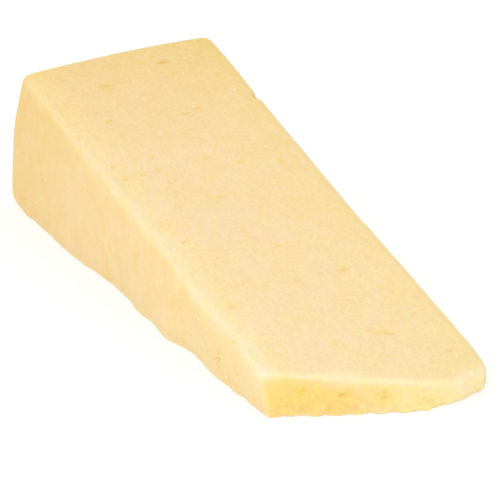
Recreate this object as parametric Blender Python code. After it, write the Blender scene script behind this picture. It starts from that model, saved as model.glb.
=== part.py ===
"""Chunk of pale crumbly cheese, cut as a sector from a wheel and lying on one of its two long cut faces.

Metres, +Z up. The origin is on the ground under the middle of the chunk: +Y runs from the thin cut end to the
thick rind end, +X to the right when the thin end faces the viewer.
"""

import math

import bmesh
import bpy
import numpy as np
from mathutils import Matrix, Vector

MM = 0.001

# The sector: its two long cut faces, drawn on, meet at the wheel's centre line in front of the thin end.
WIDTH = 54.3 * MM
WHEEL_RADIUS = 180.6 * MM
SECTOR_ANGLE = math.radians(13.2)
BACK_FOOT_Y = 77.6 * MM
APEX_Y = BACK_FOOT_Y - WHEEL_RADIUS

# The rind end bulges more than the wheel's own circle, and swells a little between its two sides.
BACK_CURVE = 83 * MM
BACK_SWELL = 0.8 * MM
BACK_SWELL_X = 4 * MM

# Hollows in the right side, in mm: place along Y, half-length, depth.
RIGHT_HOLLOWS = (
    (8, 40, 0.9),
    (45, 7, 0.25),
    (-76, 6, 1.3),
)

# The thin end: one slanting cut across the wheel's tip, and a second short facet at its right.
FRONT_LEFT_Y = -57.4 * MM
FRONT_SLANT = math.radians(24.5)
FACET_X = 15 * MM
FACET_SLANT = math.radians(13)
FACET_SOFTNESS = 1.2 * MM
FOOT_REACH_LEFT = 2.6 * MM
FOOT_REACH_RIGHT = -0.9 * MM
FOOT_REACH_FADE = (5 * MM, 15 * MM)

# Radius of each rounded edge, by the two faces that meet there.
EDGE_RADII = {
    ("left", "top"): 1.5 * MM,
    ("right", "top"): 2.6 * MM,
    ("back", "top"): 2.4 * MM,
    ("front", "top"): 1.3 * MM,
    ("left", "foot"): 0.7 * MM,
    ("right", "foot"): 0.9 * MM,
    ("back", "foot"): 8 * MM,
    ("front", "foot"): 0.7 * MM,
    ("left", "back"): 3.1 * MM,
    ("right", "back"): 6.5 * MM,
    ("left", "front"): 1.4 * MM,
    ("right", "front"): 4.5 * MM,
}
EDGE_REACH = 5 * MM
LARGEST_SHARE_OF_HEIGHT = 0.42

# Scallops along the left foot, where the curd has broken, in mm: place along Y, half-length, outward step.
FOOT_SCALLOPS = (
    (66, 8, 0.6),
    (44, 7, 0.85),
    (33, 4, 0.5),
    (22, 8, -0.5),
    (3, 5, 1.0),
    (-12, 6, 1.4),
    (-22, 4, -0.6),
    (-34, 6, 0.75),
    (-44, 5, 0.4),
)
SCALLOP_RISE = 7 * MM
FOOT_TUCK = 0.45 * MM

# Slow unevenness of the faces: wavelength and height.
SIDE_FLUTES = (6 * MM, 0.09 * MM)
SIDE_SWELL = (38 * MM, 0.08 * MM)
TOP_SWELL = (34 * MM, 0.08 * MM)
FOOT_CRUMBS = (3.6 * MM, 0.38 * MM)
FOOT_CRUMB_RISE = 3 * MM
CRUMB_FADE = (9 * MM, 17 * MM)

# Rows of the surface lattice across, along and up, and how much closer they stand near the edges.
ROWS = (24, 62, 12)
EDGE_CROWDING = 0.6

# Openings in the curd: face, place on it in mm, length and width in mm, and turn in degrees.
# The place is across and along on the top, along and up on the sides, and across and up on the two ends.
PITS = (
    ("top", -9.5, 54.5, 3.2, 1.8, -20),
    ("top", 9, 59, 2.4, 2.0, 10),
    ("top", 8.5, 39, 2.8, 1.4, -5),
    ("top", 5, 37.5, 2.6, 1.4, -35),
    ("top", -15.5, 41, 1.9, 1.4, 0),
    ("top", -22.5, 19, 2.6, 1.2, -20),
    ("top", -18, 19.5, 2.2, 1.1, -15),
    ("top", -13.5, 19.5, 2.0, 1.2, -30),
    ("top", -12, 14.5, 1.8, 1.4, 20),
    ("top", 7.5, 15.5, 2.0, 1.1, 30),
    ("top", 17.5, 12.5, 3.0, 1.2, 70),
    ("top", -3, 5, 3.0, 1.3, -15),
    ("top", -4.5, -8, 2.4, 1.1, 60),
    ("top", -20, -8, 2.0, 1.5, 40),
    ("top", 1, -16.5, 2.8, 1.1, -20),
    ("top", 11.5, -30, 2.6, 1.6, 0),
    ("top", -1.5, -30, 1.8, 1.4, 0),
    ("top", -21, -33.5, 2.3, 1.4, 10),
    ("top", 9, -54, 3.6, 1.9, -25),
    ("top", 20, -65.5, 1.8, 1.2, 0),
    ("left", -37, 5.6, 3.6, 1.8, 80),
    ("left", 56, 14.5, 2.6, 1.3, 75),
    ("right", 48, 20, 3.0, 1.6, 70),
    ("right", 14, 12, 2.6, 1.4, 95),
    ("right", -22, 9, 2.4, 1.3, 80),
    ("back", -12, 24, 2.8, 1.5, 10),
    ("back", 9, 12, 2.4, 1.4, -30),
    ("front", -9.5, 4.8, 2.2, 1.7, 0),
    ("front", -0.2, 4.1, 2.2, 1.7, 20),
)
PIT_DEPTH_SHARE = 0.34
PIT_FINENESS = 2
PIT_UNEVENNESS = 0.16
OUTWARD = {
    "top": Vector((0, 0, 1)),
    "left": Vector((-1, 0, 0)),
    "right": Vector((1, 0, 0)),
    "front": Vector((0, -1, 0)),
    "back": Vector((0, 1, 0)),
}

# A nick broken out of the top right edge.
NICK_PLACE = (26.5, 39.6)
NICK_RADII = (2.2 * MM, 2.3 * MM, 2.8 * MM)

# Middle of the finished chunk's box in the walls' own frame, which is moved to the origin.
BOX_MIDDLE = Vector((-0.45 * MM, 0.68 * MM, 0))

PASTE_COLOUR = (0.93, 0.72, 0.39, 1.0)


def clear_scene():
    for item in list(bpy.data.objects):
        bpy.data.objects.remove(item, do_unlink=True)


def waves(points, wavelength, seed, count=14):
    """Sum of seeded plane waves, which makes a smooth random field of about unit height."""
    rng = np.random.default_rng(seed)
    heading = rng.normal(size=(count, 3))
    heading /= np.linalg.norm(heading, axis=1, keepdims=True)
    heading *= rng.uniform(0.7, 1.4, (count, 1)) * 2 * math.pi / wavelength
    phase = rng.uniform(0, 2 * math.pi, count)
    return np.sin(points @ heading.T + phase).sum(axis=1) * math.sqrt(2 / count)


def smooth_step(value, low, high):
    share = np.clip((value - low) / (high - low), 0, 1)
    return share * share * (3 - 2 * share)


def mix(low, high, share):
    return low + (high - low) * share


def side_relief(y, z, seed):
    """Upright flutes left by the curd and a slow swell, outwards from a flat side, with neither at the top."""
    flute_points = np.stack([np.full_like(y, seed), y, 0.3 * z], axis=1)
    swell_points = np.stack([np.full_like(y, seed), y, z], axis=1)
    flutes = SIDE_FLUTES[1] * waves(flute_points, SIDE_FLUTES[0], seed)
    swell = SIDE_SWELL[1] * waves(swell_points, SIDE_SWELL[0], seed + 1)
    up = np.clip(z / ((y - APEX_Y) * math.tan(SECTOR_ANGLE)), 0, 1)
    return (flutes + swell) * (1 - up**4)


def foot_scallops(y, z):
    """Rounded steps along the left foot, which is tucked in a little. They fade out up the side."""
    reach = np.full_like(y, -FOOT_TUCK)
    for place, half_length, step in FOOT_SCALLOPS:
        reach += step * MM * np.exp(-(((y - place * MM) / (half_length * MM)) ** 2))
    return reach * np.exp(-((z / SCALLOP_RISE) ** 2))


def left_wall(y, z):
    return -WIDTH / 2 - side_relief(y, z, 11) - foot_scallops(y, z)


def right_wall(y, z):
    wall = WIDTH / 2 + side_relief(y, z, 21) + 0.4 * foot_scallops(-y, z)
    for place, half_length, depth in RIGHT_HOLLOWS:
        wall -= depth * MM * np.exp(-(((y - place * MM) / (half_length * MM)) ** 2))
    return wall


def front_wall(x, z):
    """The slanting cut and the short facet, joined by a soft maximum, with the foot pushed out or in."""
    cut = FRONT_LEFT_Y - (x + WIDTH / 2) * math.tan(FRONT_SLANT)
    facet_y = FRONT_LEFT_Y - (FACET_X + WIDTH / 2) * math.tan(FRONT_SLANT)
    facet = facet_y + (x - FACET_X) * math.tan(FACET_SLANT)
    wall = 0.5 * (cut + facet + np.sqrt((cut - facet) ** 2 + FACET_SOFTNESS**2))
    reach = mix(FOOT_REACH_LEFT, FOOT_REACH_RIGHT, smooth_step(x, *FOOT_REACH_FADE))
    share_down = 1 - np.clip(z / cut_face_height(x, wall), 0, 1)
    points = np.stack([x, wall, z], axis=1)
    crumbs = FOOT_CRUMBS[1] * waves(points, FOOT_CRUMBS[0], 31) * (1 - 0.7 * smooth_step(x, *CRUMB_FADE))
    return wall - reach * share_down - crumbs * np.exp(-z / FOOT_CRUMB_RISE)


def back_wall(x, z):
    """An upright arc from the foot, with a slow swell across the width."""
    arc = BACK_FOOT_Y - BACK_CURVE + np.sqrt(BACK_CURVE**2 - z**2)
    return arc - BACK_SWELL * ((x - BACK_SWELL_X) / (WIDTH / 2)) ** 2


def cut_face_height(x, y):
    """The upper cut face: a plane through the wheel's centre line, with a slow swell."""
    points = np.stack([x, y, np.zeros_like(x)], axis=1)
    plane = (y - APEX_Y) * math.tan(SECTOR_ANGLE)
    return plane + TOP_SWELL[1] * waves(points, TOP_SWELL[0], 41)


def between_walls(share):
    """Places in the block from shares across, along and up. Walls depend on each other, so it repeats."""
    across, along, up = share.T
    x = (across - 0.5) * WIDTH
    y = mix(FRONT_LEFT_Y, BACK_FOOT_Y, along)
    z = up * cut_face_height(x, y)
    for _ in range(6):
        x = mix(left_wall(y, z), right_wall(y, z), across)
        y = mix(front_wall(x, z), back_wall(x, z), along)
        z = up * cut_face_height(x, y)
    return np.stack([x, y, z], axis=1)


def block_sizes(share):
    """Distance from wall to wall across, along and up through each place."""
    sizes = []
    for axis in range(3):
        low, high = share.copy(), share.copy()
        low[:, axis], high[:, axis] = 0, 1
        gap = between_walls(high) - between_walls(low)
        sizes.append(np.abs(gap[:, axis]))
    return np.stack(sizes, axis=1)


def edge_radius(share, sizes):
    """Radius at each place: the edges' own radii, weighed by how near each edge is."""
    low, high = share * sizes, (1 - share) * sizes
    distance = {
        "left": low[:, 0], "right": high[:, 0], "front": low[:, 1],
        "back": high[:, 1], "foot": low[:, 2], "top": high[:, 2],
    }
    near = {face: np.exp(-gap / EDGE_REACH) for face, gap in distance.items()}
    total = sum(near[a] * near[b] for a, b in EDGE_RADII)
    radius = sum(near[a] * near[b] * size for (a, b), size in EDGE_RADII.items()) / total
    return np.minimum(radius, LARGEST_SHARE_OF_HEIGHT * sizes[:, 2])


def rounded_surface(share):
    """Rounds the block: a place near an edge is drawn in towards the nearest place of an inner block."""
    sizes = block_sizes(share)
    margin = edge_radius(share, sizes)[:, None] / sizes
    inner = np.clip(share, margin, 1 - margin)
    outwards = (share - inner) / margin
    outer_place, inner_place = between_walls(share), between_walls(inner)
    stretch = np.linalg.norm(outwards, axis=1, keepdims=True)
    return inner_place + (outer_place - inner_place) / stretch


def crowded(rows):
    """Shares from 0 to 1 that stand closer together near both ends."""
    even = np.linspace(0, 1, rows + 1)
    return mix(even, 0.5 - 0.5 * np.cos(math.pi * even), EDGE_CROWDING)


def lattice_box(rows):
    """Corners and outward quads of a box whose six faces are grids that share their edges."""
    corners, quads = {}, []

    def corner(place):
        return corners.setdefault(tuple(place), len(corners))

    for axis in range(3):
        first, second = (axis + 1) % 3, (axis + 2) % 3
        for end in (0, rows[axis]):
            for i in range(rows[first]):
                for j in range(rows[second]):
                    ring = []
                    for step_i, step_j in ((0, 0), (1, 0), (1, 1), (0, 1)):
                        place = [0, 0, 0]
                        place[axis], place[first], place[second] = end, i + step_i, j + step_j
                        ring.append(corner(place))
                    quads.append(ring if end else ring[::-1])
    shares = [crowded(count) for count in rows]
    places = np.array([[shares[axis][place[axis]] for axis in range(3)] for place in corners])
    return places, quads


def chunk_body(material):
    share, quads = lattice_box(ROWS)
    mesh = bpy.data.meshes.new("cheese_chunk")
    mesh.from_pydata(rounded_surface(share).tolist(), [], quads)
    mesh.transform(Matrix.Translation(-BOX_MIDDLE))
    mesh.materials.append(material)
    mesh.shade_smooth()
    body = bpy.data.objects.new("cheese_chunk", mesh)
    bpy.context.scene.collection.objects.link(body)
    return body


def face_place(face, first, second):
    """A place on one face from its two coordinates in mm."""
    a, b = np.array([first * MM]), np.array([second * MM])
    if face == "top":
        return Vector((a[0], b[0], cut_face_height(a, b)[0]))
    if face in ("left", "right"):
        wall = left_wall if face == "left" else right_wall
        return Vector((wall(a, b)[0], a[0], b[0]))
    wall = front_wall if face == "front" else back_wall
    return Vector((a[0], wall(a, b)[0], b[0]))


def face_frame(face, first, second):
    """Centre, outward direction and lengthwise direction at a place on one face."""
    centre = face_place(face, first, second)
    lengthwise = (face_place(face, first + 1, second) - centre).normalized()
    widthwise = face_place(face, first, second + 1) - centre
    outward = lengthwise.cross(widthwise).normalized()
    if outward.dot(OUTWARD[face]) < 0:
        outward.negate()
    return centre, outward, lengthwise


def add_blob(shape, frame, radii, turn, rng):
    """A squashed, slightly uneven ball, laid in the plane of a face."""
    centre, outward, lengthwise = frame
    sideways = outward.cross(lengthwise).normalized()
    axes = Matrix((lengthwise, sideways, outward)).transposed()
    placed = Matrix.Translation(centre) @ axes.to_4x4() @ Matrix.Rotation(math.radians(turn), 4, "Z")
    made = bmesh.ops.create_icosphere(shape, subdivisions=PIT_FINENESS, radius=1)
    for vertex in made["verts"]:
        uneven = 1 + rng.uniform(-PIT_UNEVENNESS, PIT_UNEVENNESS)
        vertex.co = placed @ Vector([size * uneven * value for size, value in zip(radii, vertex.co)])


def pit_cutters():
    """Everything that is missing from the faces: the openings in the curd and the broken nick."""
    rng = np.random.default_rng(5)
    shape = bmesh.new()
    for face, first, second, length, width, turn in PITS:
        radii = (length / 2 * MM, width / 2 * MM, PIT_DEPTH_SHARE * width * MM)
        add_blob(shape, face_frame(face, first, second), radii, turn, rng)
    add_blob(shape, face_frame("top", *NICK_PLACE), NICK_RADII, 0, rng)
    mesh = bpy.data.meshes.new("pit_cutters")
    shape.to_mesh(mesh)
    shape.free()
    mesh.transform(Matrix.Translation(-BOX_MIDDLE))
    cutters = bpy.data.objects.new("pit_cutters", mesh)
    bpy.context.scene.collection.objects.link(cutters)
    cutters.hide_render = True
    cutters.display_type = "WIRE"
    return cutters


def cheese_material():
    material = bpy.data.materials.new("cheese_paste")
    material.use_nodes = True
    surface = material.node_tree.nodes["Principled BSDF"]
    surface.inputs["Base Color"].default_value = PASTE_COLOUR
    surface.inputs["Roughness"].default_value = 0.5
    surface.inputs["Metallic"].default_value = 0.0
    return material


clear_scene()
chunk = chunk_body(cheese_material())
openings = chunk.modifiers.new("openings", "BOOLEAN")
openings.operation = "DIFFERENCE"
openings.object = pit_cutters()
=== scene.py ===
"""A chunk of pale crumbly cheese on a plain studio floor.

The chunk is one piece, a surface worked out on a fine grid from the same walls as its solid. Lengths are
in metres, and sizes that are easier to read in millimetres are multiplied by MM.
"""

import itertools
import math

import bpy
import numpy as np
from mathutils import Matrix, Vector


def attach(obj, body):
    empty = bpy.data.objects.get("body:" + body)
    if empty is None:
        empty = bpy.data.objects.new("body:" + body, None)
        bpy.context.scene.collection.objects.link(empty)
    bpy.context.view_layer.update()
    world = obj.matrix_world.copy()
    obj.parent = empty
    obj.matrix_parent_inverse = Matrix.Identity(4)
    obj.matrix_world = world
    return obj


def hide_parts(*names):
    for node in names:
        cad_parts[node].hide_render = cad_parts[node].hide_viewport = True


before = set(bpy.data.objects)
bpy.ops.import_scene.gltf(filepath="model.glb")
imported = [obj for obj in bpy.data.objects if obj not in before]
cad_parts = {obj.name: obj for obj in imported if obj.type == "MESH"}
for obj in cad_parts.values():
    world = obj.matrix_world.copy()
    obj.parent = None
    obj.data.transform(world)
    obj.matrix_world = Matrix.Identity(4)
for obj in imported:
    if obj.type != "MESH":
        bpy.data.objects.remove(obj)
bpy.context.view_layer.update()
MM = 0.001


# ---- The view
# The chunk is seen from its thin end, a little from the left and from above. The lens is long, as on a
# product photograph, so that the long edges stay almost parallel.

VIEW_AZIMUTH = math.radians(-28.72)
VIEW_ELEVATION = math.radians(25.84)
VIEW_DISTANCE = 1.2
VIEW_AIM = Vector((-0.86, -6.64, 15)) * MM
LENS_MM = 353.8
SENSOR_MM = 36

camera_data = bpy.data.cameras.new("view")
camera_data.lens = LENS_MM
camera_data.sensor_width = SENSOR_MM
camera = bpy.data.objects.new("view", camera_data)
away = Vector((
    math.sin(VIEW_AZIMUTH) * math.cos(VIEW_ELEVATION),
    -math.cos(VIEW_AZIMUTH) * math.cos(VIEW_ELEVATION),
    math.sin(VIEW_ELEVATION),
))
camera.location = VIEW_AIM + VIEW_DISTANCE * away
camera.rotation_euler = away.to_track_quat("Z", "Y").to_euler()
bpy.context.scene.collection.objects.link(camera)
bpy.context.scene.camera = camera


# ---- The chunk: its walls
# A sector of a small pressed wheel, lying on one of its two long cut faces. The other long cut face is the
# sloping top, the wheel's flat faces are the two sides, its rim is the thick end, and one slanting cut with
# a short second facet takes the tip off.

WIDTH = 54.3 * MM
WHEEL_RADIUS = 180.6 * MM
SECTOR_ANGLE = math.radians(13.2)
BACK_FOOT_Y = 77.6 * MM
APEX_Y = BACK_FOOT_Y - WHEEL_RADIUS
BACK_CURVE = 83 * MM
BACK_SWELL = 0.8 * MM
BACK_SWELL_X = 4 * MM
FRONT_LEFT_Y = -57.4 * MM
FRONT_SLANT = math.radians(24.5)
FACET_X = 15 * MM
FACET_SLANT = math.radians(13)
FACET_SOFTNESS = 1.2 * MM

# How far the tip's foot stands out from its top edge, to the left and to the right, and where it changes.
FOOT_REACH_LEFT = 2.6 * MM
FOOT_REACH_RIGHT = -0.9 * MM
FOOT_REACH_FADE = (5 * MM, 15 * MM)

# Hollows in the right side, in mm: place along Y, half-length, depth.
RIGHT_HOLLOWS = (
    (8, 40, 0.9),
    (45, 7, 0.25),
    (-76, 6, 1.3),
)

# Scallops along the left foot, where the curd has broken, in mm: place along Y, half-length, outward step.
FOOT_SCALLOPS = (
    (66, 8, 0.6),
    (44, 7, 0.85),
    (33, 4, 0.5),
    (22, 8, -0.5),
    (3, 5, 1.0),
    (-12, 6, 1.4),
    (-22, 4, -0.6),
    (-34, 6, 0.75),
    (-44, 5, 0.4),
)
SCALLOP_RISE = 7 * MM
FOOT_TUCK = 0.45 * MM
RIGHT_SCALLOP_SHARE = 0.4

# Slow unevenness of the faces: wavelength and height. The flutes change more slowly up the side than along
# it, and the crumbs at the tip's foot lose a share of their height along the facet.
SIDE_FLUTES = (6 * MM, 0.09 * MM)
FLUTE_Z_SCALE = 0.3
SIDE_SWELL = (38 * MM, 0.08 * MM)
TOP_SWELL = (34 * MM, 0.08 * MM)
FOOT_CRUMBS = (3.6 * MM, 0.38 * MM)
FOOT_CRUMB_RISE = 3 * MM
CRUMB_FADE = (9 * MM, 17 * MM)
CRUMB_FADE_SHARE = 0.7
LEFT_SEED, RIGHT_SEED, FRONT_SEED, TOP_SEED = 11, 21, 31, 41

# How far a wave may stray from its wavelength, as shares of its number, and how often the walls are fitted
# to each other.
WAVE_SPREAD = (0.7, 1.4)
WALL_PASSES = 5


def waves(points, wavelength, seed, count=14):
    """Sum of seeded sine waves, each over a plane's distance, of about one wavelength and unit spread."""
    rng = np.random.default_rng(seed)
    heading = rng.normal(size=(count, 3))
    heading /= np.linalg.norm(heading, axis=1, keepdims=True)
    heading *= rng.uniform(*WAVE_SPREAD, (count, 1)) * 2 * math.pi / wavelength
    phase = rng.uniform(0, 2 * math.pi, count)
    return np.sin(points @ heading.T + phase).sum(axis=1) * math.sqrt(2 / count)


def smooth_step(value, low, high):
    """0 below low, 1 above high, and 3t^2 - 2t^3 between them."""
    share = np.clip((value - low) / (high - low), 0, 1)
    return share * share * (3 - 2 * share)


def mix(low, high, share):
    """Straight blend: low plus a share of the way to high."""
    return low + (high - low) * share


def side_relief(y, z, seed):
    """Outward height of a flat side: upright flutes plus a slow swell, both sums of waves over (y, z).

    Both fade with the fourth power of the share of the height, so that the cut edge above stays straight.
    The seed also stands in for x.
    """
    flute_points = np.stack([np.full_like(y, seed), y, FLUTE_Z_SCALE * z], axis=1)
    swell_points = np.stack([np.full_like(y, seed), y, z], axis=1)
    flutes = SIDE_FLUTES[1] * waves(flute_points, SIDE_FLUTES[0], seed)
    swell = SIDE_SWELL[1] * waves(swell_points, SIDE_SWELL[0], seed + 1)
    up = np.clip(z / ((y - APEX_Y) * math.tan(SECTOR_ANGLE)), 0, 1)
    return (flutes + swell) * (1 - up**4)


def foot_scallops(y, z):
    """Outward reach: a bell curve along y for each scallop, less a tuck, all times a bell curve of z."""
    reach = np.full_like(y, -FOOT_TUCK)
    for place, half_length, step in FOOT_SCALLOPS:
        reach += step * MM * np.exp(-(((y - place * MM) / (half_length * MM)) ** 2))
    return reach * np.exp(-((z / SCALLOP_RISE) ** 2))


def left_wall(y, z):
    """x of the left side: half the width out, plus its relief and scallops."""
    return -WIDTH / 2 - side_relief(y, z, LEFT_SEED) - foot_scallops(y, z)


def right_wall(y, z):
    """x of the right side: half the width out, plus relief and weaker scallops, less bell curves."""
    wall = WIDTH / 2 + side_relief(y, z, RIGHT_SEED) + RIGHT_SCALLOP_SHARE * foot_scallops(-y, z)
    for place, half_length, depth in RIGHT_HOLLOWS:
        wall -= depth * MM * np.exp(-(((y - place * MM) / (half_length * MM)) ** 2))
    return wall


def front_wall(x, z):
    """y of the tip: the soft maximum of two slanting lines, with the foot pushed out or in and crumbly."""
    cut = FRONT_LEFT_Y - (x + WIDTH / 2) * math.tan(FRONT_SLANT)
    facet_y = FRONT_LEFT_Y - (FACET_X + WIDTH / 2) * math.tan(FRONT_SLANT)
    facet = facet_y + (x - FACET_X) * math.tan(FACET_SLANT)
    wall = 0.5 * (cut + facet + np.sqrt((cut - facet) ** 2 + FACET_SOFTNESS**2))
    reach = mix(FOOT_REACH_LEFT, FOOT_REACH_RIGHT, smooth_step(x, *FOOT_REACH_FADE))
    share_down = 1 - np.clip(z / cut_face_height(x, wall), 0, 1)
    points = np.stack([x, wall, z], axis=1)
    fade = 1 - CRUMB_FADE_SHARE * smooth_step(x, *CRUMB_FADE)
    crumbs = FOOT_CRUMBS[1] * waves(points, FOOT_CRUMBS[0], FRONT_SEED) * fade
    return wall - reach * share_down - crumbs * np.exp(-z / FOOT_CRUMB_RISE)


def back_wall(x, z):
    """y of the rim: an upright circular arc over z, less a shallow parabola across x."""
    arc = BACK_FOOT_Y - BACK_CURVE + np.sqrt(BACK_CURVE**2 - z**2)
    return arc - BACK_SWELL * ((x - BACK_SWELL_X) / (WIDTH / 2)) ** 2


def cut_face_height(x, y):
    """z of the upper cut face: a plane through the wheel's centre line, with a slow swell."""
    points = np.stack([x, y, np.zeros_like(x)], axis=1)
    plane = (y - APEX_Y) * math.tan(SECTOR_ANGLE)
    return plane + TOP_SWELL[1] * waves(points, TOP_SWELL[0], TOP_SEED)


def between_walls(share):
    """Place from shares across, along and up: a straight blend from wall to wall on each axis.

    The walls depend on each other, so the blends are repeated until they settle.
    """
    across, along, up = share.T
    x = (across - 0.5) * WIDTH
    y = mix(FRONT_LEFT_Y, BACK_FOOT_Y, along)
    z = up * cut_face_height(x, y)
    for _ in range(WALL_PASSES):
        x = mix(left_wall(y, z), right_wall(y, z), across)
        y = mix(front_wall(x, z), back_wall(x, z), along)
        z = up * cut_face_height(x, y)
    return np.stack([x, y, z], axis=1)


# ---- The chunk: its rounded edges
# Each edge has softened by its own radius: least where a wire cut it, most at the corners that were
# handled and at the foot of the rim.

EDGE_RADII = {
    ("left", "top"): 1.5 * MM,
    ("right", "top"): 2.6 * MM,
    ("back", "top"): 2.4 * MM,
    ("front", "top"): 1.3 * MM,
    ("left", "foot"): 0.7 * MM,
    ("right", "foot"): 0.9 * MM,
    ("back", "foot"): 8 * MM,
    ("front", "foot"): 0.7 * MM,
    ("left", "back"): 3.1 * MM,
    ("right", "back"): 6.5 * MM,
    ("left", "front"): 1.4 * MM,
    ("right", "front"): 4.5 * MM,
}

# How far along the faces an edge's radius carries, and the most of the height that a radius may take.
EDGE_REACH = 5 * MM
LARGEST_SHARE_OF_HEIGHT = 0.42
FACES = ("left", "right", "front", "back", "foot", "top")

# Rows of the grid across, along and up, and how much closer they stand near the edges.
ROWS = (96, 268, 54)
EDGE_CROWDING = 0.45


def box_grid(rows):
    """Whole-number places on a box's six faces, each a grid, with the places on shared edges made one.

    The corners of each quad turn the other way at a low end, so that all the faces point outwards.
    """
    quads = []
    for axis, end in itertools.product(range(3), (0, 1)):
        first, second = (axis + 1) % 3, (axis + 2) % 3
        i, j = np.meshgrid(np.arange(rows[first]), np.arange(rows[second]), indexing="ij")
        ring = np.zeros((*i.shape, 4, 3), int)
        ring[..., axis] = end * rows[axis]
        ring[..., first] = i[..., None] + np.array([0, 1, 1, 0])
        ring[..., second] = j[..., None] + np.array([0, 0, 1, 1])
        quads.append(ring[..., :: 1 if end else -1, :].reshape(-1, 4, 3))
    places, index = np.unique(np.concatenate(quads).reshape(-1, 3), axis=0, return_inverse=True)
    return places, index.reshape(-1, 4)


def crowded(rows):
    """Shares from 0 to 1: an even row blended with a half cosine, which crowds both ends."""
    even = np.linspace(0, 1, rows + 1)
    return mix(even, 0.5 - 0.5 * np.cos(math.pi * even), EDGE_CROWDING)


def wall_gaps(share):
    """Distance to the six walls, by face, and from wall to wall by axis: shares times those distances."""
    sizes = []
    for axis in range(3):
        low, high = share.copy(), share.copy()
        low[:, axis], high[:, axis] = 0, 1
        sizes.append(np.abs((between_walls(high) - between_walls(low))[:, axis]))
    sizes = np.stack(sizes, axis=1)
    low, high = share * sizes, (1 - share) * sizes
    gaps = np.stack([low[:, 0], high[:, 0], low[:, 1], high[:, 1], low[:, 2], high[:, 2]], axis=1)
    return dict(zip(FACES, gaps.T)), sizes


def edge_radius(gaps, sizes):
    """Mean of the edges' radii, each weighed by how near its two faces are, capped by the height."""
    near = {face: np.exp(-gap / EDGE_REACH) for face, gap in gaps.items()}
    total = sum(near[a] * near[b] for a, b in EDGE_RADII)
    radius = sum(near[a] * near[b] * size for (a, b), size in EDGE_RADII.items()) / total
    return np.minimum(radius, LARGEST_SHARE_OF_HEIGHT * sizes[:, 2])


def rounded(share, radius, sizes):
    """Place and outward direction of the block with its edges rounded.

    Each place steps out from the nearest one on a block that is smaller by the radius. The step is divided
    by its length in radii, so that near an edge it ends on a ball, and its direction is the outward one.
    """
    margin = radius[:, None] / sizes
    inner = np.clip(share, margin, 1 - margin)
    stretch = np.linalg.norm((share - inner) / margin, axis=1, keepdims=True)
    inner_place = between_walls(inner)
    reach = (between_walls(share) - inner_place) / stretch
    outward = reach / np.linalg.norm(reach, axis=1, keepdims=True)
    return inner_place + reach, outward


places, quads = box_grid(ROWS)
share = np.stack([crowded(count)[places[:, axis]] for axis, count in enumerate(ROWS)], axis=1)
gaps, sizes = wall_gaps(share)
surface, outward = rounded(share, edge_radius(gaps, sizes), sizes)


# ---- The chunk: relief of the paste
# Pressed curd, cut with a wire: grains that show as faint dimples, small openings between them, an upright
# grain down the two sides, chips along the cut edges and a torn, crumbly foot at the tip.

# Size, height and seed of each unevenness.
UNDULATION = (9 * MM, 0.035 * MM, 61)
GRAIN = (2.4 * MM, 0.022 * MM, 71)
FINE_GRAIN = (1.1 * MM, 0.012 * MM, 81)
SIDE_GRAIN = (4 * MM, 0.04 * MM, 91)
TORN_FOOT = (1.7 * MM, 0.24 * MM, 101)
CHIPS = (4.5 * MM, 0.2 * MM, 111)

# Where a grain's height is cut off and what counts as its middle, as shares of its size.
GRAIN_CAP, GRAIN_MIDDLE = 0.5, 0.35
TORN_CAP, TORN_MIDDLE = 0.7, 0.4

# The wire has drawn the grain out along the cut, and the press has drawn it out up the sides.
CUT_STRETCH = 1.7
SIDE_GRAIN_STRETCH = 3.5

# How far the torn foot reaches up the tip, and how far the chips reach from the cut edges.
TORN_RISE = 2.2 * MM
CHIP_REACH = 1.6 * MM

# Openings in the curd: face, place on it in mm, length and width in mm, and turn in degrees.
# The place is across and along on the top, along and up on the sides, and across and up on the two ends.
PITS = (
    ("top", -9.5, 54.5, 3.2, 1.8, -20),
    ("top", 9, 59, 2.4, 2.0, 10),
    ("top", 8.5, 39, 2.8, 1.4, -5),
    ("top", 5, 37.5, 2.6, 1.4, -35),
    ("top", -15.5, 41, 1.9, 1.4, 0),
    ("top", -22.5, 19, 2.6, 1.2, -20),
    ("top", -18, 19.5, 2.2, 1.1, -15),
    ("top", -13.5, 19.5, 2.0, 1.2, -30),
    ("top", -12, 14.5, 1.8, 1.4, 20),
    ("top", 7.5, 15.5, 2.0, 1.1, 30),
    ("top", 17.5, 12.5, 3.0, 1.2, 70),
    ("top", -3, 5, 3.0, 1.3, -15),
    ("top", -4.5, -8, 2.4, 1.1, 60),
    ("top", -20, -8, 2.0, 1.5, 40),
    ("top", 1, -16.5, 2.8, 1.1, -20),
    ("top", 11.5, -30, 2.6, 1.6, 0),
    ("top", -1.5, -30, 1.8, 1.4, 0),
    ("top", -21, -33.5, 2.3, 1.4, 10),
    ("top", 9, -54, 3.6, 1.9, -25),
    ("top", 20, -65.5, 1.8, 1.2, 0),
    ("left", -37, 5.6, 3.6, 1.8, 80),
    ("left", 56, 14.5, 2.6, 1.3, 75),
    ("right", 48, 20, 3.0, 1.6, 70),
    ("right", 14, 12, 2.6, 1.4, 95),
    ("right", -22, 9, 2.4, 1.3, 80),
    ("back", -12, 24, 2.8, 1.5, 10),
    ("back", 9, 12, 2.4, 1.4, -30),
    ("front", -9.5, 4.8, 2.2, 1.7, 0),
    ("front", -0.2, 4.1, 2.2, 1.7, 20),
)

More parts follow.
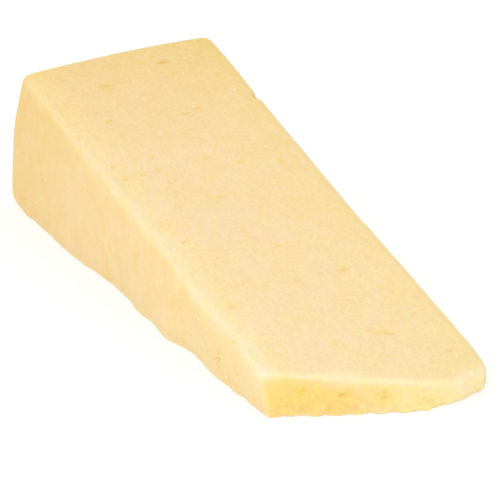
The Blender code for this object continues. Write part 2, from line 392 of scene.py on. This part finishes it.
# Fainter openings, in the same terms, with more painted shade than depth.
FAINT_PITS = (
    ("top", 3.4, 60.4, 2.4, 1.5, 0),
    ("top", -12.6, 25, 2.0, 1.2, -20),
    ("top", -23, 24, 2.2, 1.1, -10),
    ("top", 0.6, 20.4, 2.4, 1.4, 50),
    ("top", -3.8, 12.3, 1.8, 1.2, 60),
    ("top", -22.4, -0.6, 3.6, 2.0, -20),
    ("top", 3.1, 31.5, 4.2, 0.7, -62),
    ("top", -14.8, -26.3, 5, 0.6, 2),
    ("top", -4.8, -54.3, 1.6, 0.9, 20),
    ("top", -19.4, -53, 1.5, 1.0, 0),
    ("top", 18, -41.6, 1.8, 1.0, 30),
    ("top", 13.4, -68, 2.4, 1.2, -10),
    ("top", 13, -1.7, 1.8, 1.1, 15),
    ("top", 21.5, -10.8, 1.7, 1.0, 50),
    ("top", 23.6, -12.2, 1.6, 1.0, 0),
    ("top", 18.4, -51, 1.6, 0.8, 70),
    ("top", 5.5, -52.5, 2.6, 1.4, 0),
    ("right", 32, 8, 3.0, 1.3, 85),
    ("right", -4, 20, 2.8, 1.2, 96),
    ("right", -40, 6, 2.4, 1.2, 70),
    ("back", 1, 31, 2.6, 1.3, -12),
    ("back", -18, 9, 2.4, 1.3, 25),
    ("front", -9.5, 4.8, 3.8, 3.0, 0),
    ("front", -0.2, 4.1, 4.0, 3.1, 20),
    ("front", -18, 6, 2.2, 1.4, 30),
    ("front", 10, 6.4, 1.8, 1.1, -15),
)

# Soft deeper-yellow patches with no depth, in the same terms; on the top they widen the painted shade round
# openings.
SOFT_PATCHES = (
    ("top", -9.5, 54.5, 4.8, 3.4, -20),
    ("top", 9, -54, 5.4, 3.4, -25),
    ("top", -3, 5, 4.6, 2.6, -15),
    ("top", 8.5, 39, 4.0, 2.6, -5),
    ("top", -22.4, -0.6, 4.8, 3.0, -20),
    ("left", -37, 5.6, 5.2, 3.2, 80),
    ("left", 53.1, 27.1, 5.0, 2.8, 80),
    ("left", 57.5, 19.3, 4.4, 2.6, 85),
    ("left", 44.6, 19, 5.6, 2.6, 80),
    ("left", 60, 4.5, 4.4, 3.0, 60),
    ("left", 65.5, 5.5, 4.4, 2.4, 80),
    ("left", 11.3, 26, 4.4, 2.6, 85),
    ("left", -20, 16, 4.0, 2.4, 90),
    ("left", -14.8, 8.6, 4.4, 2.6, 85),
    ("left", 5.5, 13.2, 4.0, 2.4, 95),
    ("left", -2.8, 22.4, 4.0, 2.4, 85),
    ("left", 21.6, 3.4, 4.4, 2.8, 90),
    ("left", 22, 15.6, 4.0, 2.2, 85),
    ("right", 55, 22, 4.4, 2.6, 85),
    ("right", 36, 14, 4.6, 2.6, 80),
    ("right", 2, 6, 4.4, 2.6, 95),
    ("right", -30, 10, 4.0, 2.4, 80),
)

# Depth as a share of the width, how strongly the weaker kinds colour the paste, and the first seed of each
# kind.
PIT_DEPTH_SHARE = 0.26
FAINT_DEPTH_SHARE = 0.08
FAINT_SHADE = 0.85
SOFT_PATCH_SHARE = 0.5
PIT_SEED, FAINT_SEED, PATCH_SEED = 500, 600, 800

# How ragged a border is, in shares of its radius, the share of the finer raggedness, and its step of seed.
PIT_RAGGEDNESS = 0.4
FINE_RAGGEDNESS = 0.6
FINE_RAGGED_SEED_STEP = 50

# Shares of the radius between which a pit rises to the surface and its deeper yellow ends, how far off a
# face's plane a pit still acts, and a radius that is outside every pit.
PIT_BOWL = (0.1, 1.3)
PIT_YELLOWING = (0.2, 1.9)
PIT_THICKNESS = 2 * MM
OUTSIDE = 9

# Pinprick pores, seeded over every face: how many, and their smallest and largest size.
PORES = 240
PORE_SIZE = (0.5 * MM, 1.1 * MM)
PORE_DEPTH_SHARE = 0.22
PORE_FLAT_SHARE = 0.1
PORE_SHADE = 0.5
PORE_SEED = 700

# How much paler the openings' painted shade and the soft patches are on the top, on the sides and on the tip
# than elsewhere.
TOP_PALER, SIDE_PALER, TIP_PALER = 0.34, 0.25, 0.3

# Outward direction of each face.
OUTWARD = {
    "top": np.array([0, -math.sin(SECTOR_ANGLE), math.cos(SECTOR_ANGLE)]),
    "foot": np.array([0, 0, -1]),
    "left": np.array([-1, 0, 0]),
    "right": np.array([1, 0, 0]),
    "front": np.array([0, -1, 0]),
    "back": np.array([0, 1, 0]),
}

# A flake broken off the top right edge: it starts at one place along Y, deepens towards the tip and ends
# there in a ledge.
FLAKE_START_Y = 42.4 * MM
FLAKE_LEDGE_Y = 38.2 * MM
FLAKE_LEDGE_LENGTH = 0.5 * MM
FLAKE_DEPTH = 1.6 * MM
FLAKE_REACH = 2.2 * MM

# Middle of the solid's box in the walls' own frame, which is moved to the origin.
BOX_MIDDLE = np.array([-0.45 * MM, 0.68 * MM, 0])

# Large odd numbers that scatter the bits of a cell's indices and its seed.
CELL_FACTORS = (73856093, 19349663, 83492791)
SEED_FACTOR = 2654435761
SCATTER_FACTOR = 1274126177
LOW_BITS = 0xFFFFFF


def cell_numbers(cell, seed):
    """A repeatable number from 0 to 1 for each cell: its indices' bits mixed, and the low ones kept."""
    indices = np.moveaxis(cell.astype(np.int64), -1, 0)
    x, y, z = (index * factor for index, factor in zip(indices, CELL_FACTORS))
    mixed = x ^ y ^ z ^ (seed * SEED_FACTOR)
    mixed = (mixed ^ (mixed >> 13)) * SCATTER_FACTOR
    return ((mixed ^ (mixed >> 16)) & LOW_BITS) / LOW_BITS


def cloud(points, size, seed):
    """Smooth noise from about -1 to 1: numbers at the corners of cells, blended by 3t^2 - 2t^3."""
    scaled = points / size
    base = np.floor(scaled)
    part = smooth_step(scaled - base, 0, 1)
    total = np.zeros(len(points))
    for corner in itertools.product((0, 1), repeat=3):
        weight = np.prod(np.where(corner, part, 1 - part), axis=1)
        total += weight * cell_numbers(base + corner, seed)
    return 4 * (total - 0.5)


def curds(points, size, seed):
    """Distance to a grain's border: of the two nearest scattered grain hearts, the far less the near one."""
    scaled = points / size
    base = np.floor(scaled)
    near = np.full(len(points), np.inf)
    far = near.copy()
    for step in itertools.product((-1, 0, 1), repeat=3):
        cell = base + step
        heart = cell + np.stack([cell_numbers(cell, seed + axis) for axis in range(3)], axis=1)
        distance = np.linalg.norm(scaled - heart, axis=1)
        far = np.minimum(far, np.maximum(near, distance))
        near = np.minimum(near, distance)
    return far - near


def uneven(points, unevenness, share=1):
    """Height of one unevenness: its height, times a share, times a cloud of its size and seed."""
    size, height, seed = unevenness
    return height * share * cloud(points, size, seed)


def dimpled(points, unevenness, share, cap, middle):
    """Height of grains: height times share times twice the capped distance to a border less a middle."""
    size, height, seed = unevenness
    return height * share * (np.minimum(curds(points, size, seed), cap) - middle) * 2


def face_place(face, first, second):
    """A place on one face: its two coordinates in mm, and the third from that face's wall."""
    a, b = np.array([first * MM]), np.array([second * MM])
    if face == "top":
        return np.array([a[0], b[0], cut_face_height(a, b)[0]])
    if face in ("left", "right"):
        wall = left_wall if face == "left" else right_wall
        return np.array([wall(a, b)[0], a[0], b[0]])
    wall = front_wall if face == "front" else back_wall
    return np.array([a[0], wall(a, b)[0], b[0]])


def unit(vector):
    """The vector over its own length."""
    return vector / np.linalg.norm(vector)


def face_frame(face, first, second):
    """Centre, outward and lengthwise directions on one face, from steps of 1 mm and their cross product."""
    centre = face_place(face, first, second)
    lengthwise = unit(face_place(face, first + 1, second) - centre)
    widthwise = face_place(face, first, second + 1) - centre
    out = unit(np.cross(lengthwise, widthwise))
    return centre, out if out @ OUTWARD[face] > 0 else -out, lengthwise


def pit_radius(points, face, first, second, length, width, turn, seed):
    """0 in the middle of a pit and about 1 on its border: an ellipse's radius, made ragged by two clouds."""
    centre, out, lengthwise = face_frame(face, first, second)
    sideways = np.cross(out, lengthwise)
    offset = points - centre
    a, b = offset @ lengthwise, offset @ sideways
    cos, sin = math.cos(math.radians(turn)), math.sin(math.radians(turn))
    across = (a * cos + b * sin) / (length / 2 * MM)
    along = (b * cos - a * sin) / (width / 2 * MM)
    ragged = cloud(points, width / 2 * MM, seed)
    ragged += FINE_RAGGEDNESS * cloud(points, width / 4 * MM, seed + FINE_RAGGED_SEED_STEP)
    radius = np.hypot(across, along) + PIT_RAGGEDNESS * ragged
    return np.where(np.abs(offset @ out) > PIT_THICKNESS, OUTSIDE, radius)


def pits(points, listed, depth_share, seed):
    """Depth and deeper yellow (0 to 1) of the listed pits: smooth bowls over their radius, the deepest
    counting.
    """
    depth, yellowing = np.zeros(len(points)), np.zeros(len(points))
    for number, pit in enumerate(listed):
        radius = pit_radius(points, *pit, seed + number)
        width = pit[4]
        depth = np.maximum(depth, (1 - smooth_step(radius, *PIT_BOWL)) * depth_share * width * MM)
        yellowing = np.maximum(yellowing, 1 - smooth_step(radius, *PIT_YELLOWING))
    return depth, yellowing


def pores(points, count, seed):
    """Depth and painted shade (0 to 1) of small round pores: smooth bowls around seeded points of the
    surface.
    """
    rng = np.random.default_rng(seed)
    centres = points[rng.integers(0, len(points), count)]
    sizes = rng.uniform(*PORE_SIZE, count)
    depth, yellowing = np.zeros(len(points)), np.zeros(len(points))
    for centre, size in zip(centres, sizes):
        distance = np.linalg.norm(points - centre, axis=1)
        part = 1 - smooth_step(distance, PORE_FLAT_SHARE * size, size)
        depth = np.maximum(depth, part * size * PORE_DEPTH_SHARE)
        yellowing = np.maximum(yellowing, part)
    return depth, yellowing


facing = {face: np.clip(outward @ direction, 0, 1) ** 2 for face, direction in OUTWARD.items()}
side = facing["left"] + facing["right"]
edge_gap = {pair: np.hypot(gaps[pair[0]], gaps[pair[1]]) for pair in EDGE_RADII}
cut_edges = (("left", "top"), ("front", "top"), ("left", "front"))
chip_zone = sum(np.exp(-((edge_gap[pair] / CHIP_REACH) ** 2)) for pair in cut_edges)
drawn = surface * np.array([1, 1 / CUT_STRETCH, 1])
upright = surface * np.array([1, 1, 1 / SIDE_GRAIN_STRETCH])

pit_depth, pit_shade = pits(surface, PITS, PIT_DEPTH_SHARE, PIT_SEED)
faint_depth, faint_shade = pits(surface, FAINT_PITS, FAINT_DEPTH_SHARE, FAINT_SEED)
pore_depth, pore_shade = pores(surface, PORES, PORE_SEED)
soft_patches = pits(surface, SOFT_PATCHES, 0, PATCH_SEED)[1]
# The openings' deeper yellow is painted shade in their hollows; the soft patches add deeper yellow with no
# depth.
opening_shade_and_patches = np.maximum(pit_shade, PORE_SHADE * pore_shade)
opening_shade_and_patches = np.maximum(opening_shade_and_patches, np.maximum(FAINT_SHADE * faint_shade, SOFT_PATCH_SHARE * soft_patches))
opening_shade_and_patches *= 1 - TOP_PALER * facing["top"] - SIDE_PALER * side - TIP_PALER * facing["front"]

relief = uneven(surface, UNDULATION)
relief += dimpled(drawn, GRAIN, 1 - side, GRAIN_CAP, GRAIN_MIDDLE)
relief += uneven(drawn, FINE_GRAIN)
relief += uneven(upright, SIDE_GRAIN, side)
torn = facing["front"] * np.exp(-gaps["foot"] / TORN_RISE)
relief += dimpled(surface, TORN_FOOT, torn, TORN_CAP, TORN_MIDDLE)
relief -= np.maximum(uneven(surface, CHIPS, np.minimum(chip_zone, 1)), 0)
relief -= pit_depth + faint_depth + pore_depth
y = surface[:, 1]
flake = 1 - smooth_step(y, FLAKE_LEDGE_Y, FLAKE_START_Y)
flake *= smooth_step(y, FLAKE_LEDGE_Y - FLAKE_LEDGE_LENGTH, FLAKE_LEDGE_Y)
relief -= FLAKE_DEPTH * flake * np.exp(-((edge_gap["right", "top"] / FLAKE_REACH) ** 2))
surface = surface + outward * (relief * (1 - facing["foot"]))[:, None]
surface[:, 2] = np.maximum(surface[:, 2], 0)


# ---- The chunk: its mesh
# One closed skin, smooth shaded. What the finish needs to know about each place is stored on its points:
# how near each edge is, which face it lies on, and how strongly the painted shade of an opening or of the
# rim colours it.

mesh = bpy.data.meshes.new("cheese")
mesh.from_pydata((surface - BOX_MIDDLE).tolist(), [], quads.tolist())
mesh.shade_smooth()
cheese = bpy.data.objects.new("cheese", mesh)
bpy.context.scene.collection.objects.link(cheese)

# The painted highlight along the ridge left of the top: its place in from the edge at the rim and at the
# tip, where along the chunk it shifts, and how wide it is on each face.
RIDGE_PLACE = (0.9 * MM, 1.8 * MM)
RIDGE_SHIFT = (28 * MM, 52 * MM)
RIDGE_ON_TOP = 2.4 * MM
RIDGE_ON_SIDE = 2.8 * MM

# The painted highlight along the edge over the tip: its width at the left and at the right, where across
# the chunk it widens, its share of that width on the top, and how many widths down the tip's own colour
# starts.
TIP_EDGE_REACH = (0.8 * MM, 1.5 * MM)
TIP_EDGE_WIDENS = (-24 * MM, 4 * MM)
TIP_EDGE_ON_TOP = 0.75
TIP_FADE = 1.8

# Size, height and seed of the wave in the width of both.
EDGE_WAVE = (7 * MM, 0.2, 121)
FINE_EDGE_WAVE = (2.5 * MM, 0.1, 131)

# The painted shade near the rim, a deeper yellow: its share and reach along the chunk and at the two
# upright corners, and how much of it is lost on the rim itself.
RIM_SHADE_SHARE = 0.55
RIM_SHADE_REACH = 48 * MM
RIM_CORNER_SHADE_SHARES = {"right": 0.65, "left": 0.25}
RIM_CORNER_SHADE_REACH = 11 * MM
RIM_SHADE_LOST_ON_RIM = 0.5

# How far the other bands of painted light and shade reach from their edges.
GLOW_REACH = 7 * MM
RIGHT_REACH = 12 * MM
EDGE_SHADE_REACH = 1.6 * MM
FOOT_LINE_REACH = 3.2 * MM
CORNER_REACH = 1.7 * MM
LIT_EDGE_REACH = 1.2 * MM

# From where to where across the chunk the tip's colour, the facet's and the torn foot's change, and how far
# down the facet keeps its own.
TIP_CHANGE = (-10 * MM, 5 * MM)
FACET_CHANGE = (FACET_X - 6 * MM, FACET_X + 1 * MM)
TORN_CHANGE = (-3 * MM, 7 * MM)
FACET_FADE = (2 * MM, 7.5 * MM)


def bell(*distances):
    """A bell curve around an edge: exp of minus the sum of squares of each gap over its reach."""
    return np.exp(-sum((gap / reach) ** 2 for gap, reach in distances))


x, y = surface[:, 0], surface[:, 1]
wavy = 1 + uneven(surface, EDGE_WAVE) + uneven(surface, FINE_EDGE_WAVE)
rim_shade = RIM_SHADE_SHARE * (1 - smooth_step(gaps["back"], 0, RIM_SHADE_REACH))
for face, corner_share in RIM_CORNER_SHADE_SHARES.items():
    rim_shade += corner_share * np.exp(-edge_gap[face, "back"] / RIM_CORNER_SHADE_REACH)
ridge_place = mix(*RIDGE_PLACE, smooth_step(-y, *RIDGE_SHIFT))
ridge = bell((gaps["left"] - ridge_place, RIDGE_ON_TOP * wavy), (gaps["top"], RIDGE_ON_SIDE * wavy))
tip_reach = wavy * mix(*TIP_EDGE_REACH, smooth_step(x, *TIP_EDGE_WIDENS))
facet_fade = 1 - smooth_step(gaps["top"], *FACET_FADE)

STORED = {
    "opening_shade_and_patches": opening_shade_and_patches,
    "ridge": ridge * (1 - facing["front"]),
    "lit_edge": bell((gaps["left"], LIT_EDGE_REACH), (gaps["top"], LIT_EDGE_REACH)),
    "tip_edge": bell((gaps["front"], tip_reach), (gaps["top"], TIP_EDGE_ON_TOP * tip_reach)),
    "corner": bell(*((gaps[face], CORNER_REACH) for face in ("left", "front", "top"))),
    "top_glow": np.exp(-((gaps["left"] / GLOW_REACH) ** 2)),
    "side_glow": np.exp(-gaps["top"] / GLOW_REACH),
    "thick": share[:, 1],
    "rim_shade": np.minimum(rim_shade, 1) * (1 - RIM_SHADE_LOST_ON_RIM * facing["back"]),
    "right_shade": np.exp(-gaps["right"] / RIGHT_REACH) * facing["top"],
    "edge_shade": np.exp(-np.minimum(gaps["right"], gaps["back"]) / EDGE_SHADE_REACH),
    "side": side,
    "tip": facing["front"],
    "tip_right": smooth_step(x, *TIP_CHANGE),
    "tip_depth": 1 - np.exp(-gaps["top"] / (TIP_FADE * tip_reach)),
    "facet": smooth_step(x, *FACET_CHANGE) * facet_fade,
    "rim": facing["back"],
    "foot_line": np.exp(-gaps["foot"] / FOOT_LINE_REACH) * (1 - facing["front"]),
    "torn": torn * (1 - smooth_step(x, *TORN_CHANGE)),
}
for name, values in STORED.items():
    stored = mesh.attributes.new(name, "FLOAT", "POINT")
    stored.data.foreach_set("value", values.astype(np.float32))


# ---- The chunk: its finish
# Pale creamy yellow curd with a faint peach mottle, a little translucent and only softly shiny. Light and
# shade are painted into its colour: paler cut edges and a glow near the upper edges are painted light, and
# the deeper yellow in the openings, along the foot, near the rim and along the right edge is painted shade.


def srgb(red, green, blue):
    """Linear colour from 0 to 255 screen values: a straight foot, then a power of 2.4."""
    values = np.array([red, green, blue]) / 255
    linear = np.where(values > 0.04045, ((values + 0.055) / 1.055) ** 2.4, values / 12.92)
    return (*linear.tolist(), 1.0)


class Wire:
    """One shader socket. Adding, multiplying and taking it from a number add Math nodes to its tree."""

    def __init__(self, graph, socket):
        self.graph, self.socket = graph, socket

    def maths(self, operation, *values):
        """One Math node over the values."""
        return self.graph.node("ShaderNodeMath", {"operation": operation}, dict(enumerate(values)))

    def __add__(self, other):
        return self.maths("ADD", self, other)

    def __rsub__(self, other):
        return self.maths("SUBTRACT", other, self)

    def __mul__(self, other):
        return self.maths("MULTIPLY", self, other)

    __radd__ = __add__
    __rmul__ = __mul__

    def between(self, low, high):
        """0 at low, 1 at high, smooth and clamped."""
        sockets = {"Value": self, "From Min": low, "From Max": high}
        return self.graph.node("ShaderNodeMapRange", {"interpolation_type": "SMOOTHSTEP"}, sockets)


class Graph:
    """The nodes of one material."""

    def __init__(self, material):
        self.tree = material.node_tree

    def node(self, kind, settings=None, sockets=None, output=0):
        """Adds a node, sets its settings and then its sockets' values or links, and returns one output."""
        made = self.tree.nodes.new(kind)
        for name, value in (settings or {}).items():
            setattr(made, name, value)
        for name, value in (sockets or {}).items():
            if isinstance(value, Wire):
                self.tree.links.new(value.socket, made.inputs[name])
            else:
                made.inputs[name].default_value = value
        return Wire(self, made.outputs[output])

    def stored(self, name):
        """A value that is stored on the mesh's points."""
        return self.node("ShaderNodeAttribute", {"attribute_name": name}, output="Fac")

    def mixed(self, share, first, second, way="MIX"):
        """Colour on the way from first to second, or in another of the Mix node's ways, by share."""
        settings = {"data_type": "RGBA", "blend_type": way}
        return self.node("ShaderNodeMix", settings, {"Factor": share, 6: first, 7: second}, output=2)

    def tinted(self, share, colour, tint):
        """Colour multiplied by a tint, by share."""
        return self.mixed(share, colour, tint, "MULTIPLY")

    def noise(self, place, size, low, high, detail, shift):
        """Soft noise of one patch size from 0 to 1, with what lies between low and high spread out."""
        moved = self.node("ShaderNodeVectorMath", {"operation": "ADD"}, {0: place, 1: (shift, shift, shift)})
        sockets = {"Vector": moved, "Scale": 1 / size, "Detail": detail}
        return self.node("ShaderNodeTexNoise", {}, sockets).between(low, high)

    def mottled(self, place, patches, first, second):
        """Colour from first to second by a soft noise."""
        return self.mixed(self.noise(place, *patches), first, second)

    def stretched(self, place, scale):
        """Place multiplied by a scale on each axis."""
        return self.node("ShaderNodeVectorMath", {"operation": "MULTIPLY"}, {0: place, 1: scale})


# The paste's colours by face, at the thin tip and the thick end or at the left and the right, and those of
# its edges, its crumbly corner and its hearts. The paste is one: the faces differ, and the thick end is
# darker, by painted light and shade, and the tip is deeper yellow, most at its left, by painted shade and
# bounced light. The edges' and the corner's paler colours are painted highlights.
TOP_THIN = srgb(235, 212, 165)
TOP_THICK = srgb(232, 205, 154)
SIDE_THIN = srgb(233, 208, 157)
SIDE_THICK = srgb(230, 201, 146)
TIP_LEFT = srgb(231, 204, 113)
TIP_RIGHT = srgb(233, 216, 143)
FACET = srgb(248, 229, 172)
RIM = srgb(236, 208, 152)
HIGHLIGHT_THIN = srgb(233, 220, 177)
HIGHLIGHT_THICK = srgb(229, 210, 159)
CORNER_HIGHLIGHT = srgb(231, 218, 190)
HEART = srgb(238, 226, 196)

# Tints, which multiply the colour they lie on.
PALE = (1.004, 1.007, 1.04, 1)
DEEP = (0.996, 0.992, 0.955, 1)
LIGHTER = (1.017, 1.019, 1.022, 1)
DARKER = (0.983, 0.981, 0.978, 1)
RIM_SHADE = (0.965, 0.93, 0.72, 1)
RIGHT_SHADE = (0.99, 0.985, 0.82, 1)
EDGE_SHADE = (0.92, 0.97, 0.97, 1)
LIT_EDGE = (1.0, 0.97, 1.06, 1)
TOP_GLOW = (1.035, 1.06, 1.0, 1)
SIDE_GLOW = (1.02, 0.99, 0.8, 1)
OPENING_SHADE_AND_PATCHES = (0.997, 0.938, 0.62, 1)
FOOT_SHADE = (0.92, 0.925, 0.89, 1)
TORN = (1.0, 0.95, 1.4, 1)

# Each layer of mottle: size of a patch, the low and high ends of its noise, detail, and shift of its place.
CLOUDS = (7 * MM, 0.35, 0.65, 3, 0.0)
SPECKS = (MM, 0.35, 0.65, 4, 8.9)
PATCHES = (2.4 * MM, 0.35, 0.65, 2, 3.1)
SIDE_PATCHES = (5.5 * MM, 0.38, 0.62, 2, 6.4)
SIDE_STREAKS = (3.4 * MM, 0.35, 0.65, 1, 1.7)
STREAK_Z_SCALE = 0.4
SPECKS_LOST_ON_SIDE = 0.45

# Pale hearts of the curd: how far apart, where their paleness ends as shares of that, and how strong it is.
HEART_SPACING = 6 * MM
HEART_SIZE = (0.03, 0.13)
HEART_SHARE = 0.35

# The finest grain: its noise in the mottle's terms, the strength and height of its bumps, and the roughness
# of its lows and what its highs add to it.
SHEEN_GRAIN = (0.9 * MM, 0.2, 0.8, 4, 5.3)
BUMP_STRENGTH = 0.2
BUMP_HEIGHT = 0.1 * MM
ROUGHNESS, ADDED_ROUGHNESS = 0.5, 0.14

paste = bpy.data.materials.new("cheese_paste")
paste.use_nodes = True
graph = Graph(paste)
shader = paste.node_tree.nodes["Principled BSDF"]
place = graph.node("ShaderNodeTexCoord", output="Object")
drawn_place = graph.stretched(place, (1, 1 / CUT_STRETCH, 1))
upright_place = graph.stretched(place, (1, 1, STREAK_Z_SCALE))
side_share = graph.stored("side")

thick = graph.stored("thick")
colour = graph.mixed(thick, TOP_THIN, TOP_THICK)
colour = graph.tinted(graph.stored("top_glow"), colour, TOP_GLOW)
side_colour = graph.mixed(thick, SIDE_THIN, SIDE_THICK)
side_colour = graph.tinted(graph.stored("side_glow"), side_colour, SIDE_GLOW)
colour = graph.mixed(side_share, colour, side_colour)
tip_colour = graph.mixed(graph.stored("tip_right"), TIP_LEFT, TIP_RIGHT)
tip_colour = graph.mixed(graph.stored("facet"), tip_colour, FACET)
colour = graph.mixed(graph.stored("tip") * graph.stored("tip_depth"), colour, tip_colour)
colour = graph.mixed(graph.stored("rim"), colour, RIM)
# Painted shade along the right edge of the top.
colour = graph.tinted(graph.stored("right_shade"), colour, RIGHT_SHADE)
colour = graph.tinted(graph.stored("edge_shade"), colour, EDGE_SHADE)
colour = graph.tinted(graph.stored("foot_line"), colour, FOOT_SHADE)
colour = graph.tinted(graph.stored("torn"), colour, TORN)
# The paler colour of the ridge and of the tip's top edge is a painted highlight.
highlight_colour = graph.mixed(thick, HIGHLIGHT_THIN, HIGHLIGHT_THICK)
colour = graph.mixed(graph.stored("ridge"), colour, highlight_colour)
# Painted shade: deeper yellow towards the rim and at its two upright corners.
colour = graph.tinted(graph.stored("rim_shade"), colour, RIM_SHADE)
colour = graph.tinted(graph.stored("lit_edge"), colour, LIT_EDGE)
colour = graph.mixed(graph.stored("tip_edge"), colour, highlight_colour)
# A painted highlight on the crumbly top left corner of the tip.
colour = graph.mixed(graph.stored("corner"), colour, CORNER_HIGHLIGHT)

colour = graph.tinted(1.0, colour, graph.mottled(drawn_place, CLOUDS, DEEP, PALE))
specks = graph.mottled(place, SPECKS, DARKER, LIGHTER)
colour = graph.tinted(1 - SPECKS_LOST_ON_SIDE * side_share, colour, specks)
colour = graph.tinted(1 - side_share, colour, graph.mottled(drawn_place, PATCHES, DEEP, PALE))
colour = graph.tinted(side_share, colour, graph.mottled(upright_place, SIDE_STREAKS, DEEP, PALE))
colour = graph.tinted(side_share, colour, graph.mottled(place, SIDE_PATCHES, DEEP, PALE))
# Painted shade in the openings, and the soft patches.
colour = graph.tinted(graph.stored("opening_shade_and_patches"), colour, OPENING_SHADE_AND_PATCHES)
voronoi_sockets = {"Vector": place, "Scale": 1 / HEART_SPACING}
heart_distance = graph.node("ShaderNodeTexVoronoi", {}, voronoi_sockets, output="Distance")
colour = graph.mixed((1 - heart_distance.between(*HEART_SIZE)) * HEART_SHARE, colour, HEART)

grain = graph.noise(place, *SHEEN_GRAIN)
bump_sockets = {"Strength": BUMP_STRENGTH, "Distance": BUMP_HEIGHT, "Height": grain}
bump = graph.node("ShaderNodeBump", {}, bump_sockets)
rough = ROUGHNESS + ADDED_ROUGHNESS * grain

links = paste.node_tree.links
links.new(colour.socket, shader.inputs["Base Color"])
links.new(rough.socket, shader.inputs["Roughness"])
links.new(bump.socket, shader.inputs["Normal"])
shader.inputs["Subsurface Weight"].default_value = 0.6
shader.inputs["Subsurface Radius"].default_value = (1.0, 0.62, 0.28)
shader.inputs["Subsurface Scale"].default_value = 3 * MM
shader.inputs["Specular IOR Level"].default_value = 0.35
mesh.materials.append(paste)

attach(cheese, "root")
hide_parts("cheese_chunk")


# ---- The studio
# A pale matt floor that gives some light of its own, in even light from all round, with one large soft lamp
# up and to the left of the viewer.

FLOOR_SIZE = 8
FLOOR_DROP = 0.02 * MM
FLOOR_GREY = (0.5, 0.5, 0.5, 1)
FLOOR_ROUGHNESS = 0.9
FLOOR_GLOW = 0.5
WHITE = (1, 1, 1, 1)
SKY_STRENGTH = 0.96
LAMP_FROM = Vector((-0.8, -0.75, 0.95))
LAMP_POWER = 6.2
LAMP_SIZE = 0.9

floor_mesh = bpy.data.meshes.new("floor")
ends = ((-1, -1), (1, -1), (1, 1), (-1, 1))
floor_corners = [(x * FLOOR_SIZE / 2, y * FLOOR_SIZE / 2, -FLOOR_DROP) for x, y in ends]
floor_mesh.from_pydata(floor_corners, [], [(0, 1, 2, 3)])
floor = bpy.data.objects.new("floor", floor_mesh)
bpy.context.scene.collection.objects.link(floor)
floor_paint = bpy.data.materials.new("floor_white")
floor_paint.use_nodes = True
floor_shader = floor_paint.node_tree.nodes["Principled BSDF"]
floor_shader.inputs["Base Color"].default_value = FLOOR_GREY
floor_shader.inputs["Roughness"].default_value = FLOOR_ROUGHNESS
floor_shader.inputs["Emission Color"].default_value = WHITE
floor_shader.inputs["Emission Strength"].default_value = FLOOR_GLOW
floor_mesh.materials.append(floor_paint)

world = bpy.data.worlds.new("studio")
bpy.context.scene.world = world
world.use_nodes = True
sky = world.node_tree.nodes["Background"]
sky.inputs["Color"].default_value = WHITE
sky.inputs["Strength"].default_value = SKY_STRENGTH

lamp_data = bpy.data.lights.new("soft_lamp", "AREA")
lamp_data.energy = LAMP_POWER
lamp_data.size = LAMP_SIZE
lamp = bpy.data.objects.new("soft_lamp", lamp_data)
lamp.location = LAMP_FROM
lamp.rotation_euler = LAMP_FROM.to_track_quat("Z", "Y").to_euler()
bpy.context.scene.collection.objects.link(lamp)
bpy.context.scene.view_settings.view_transform = "Standard"
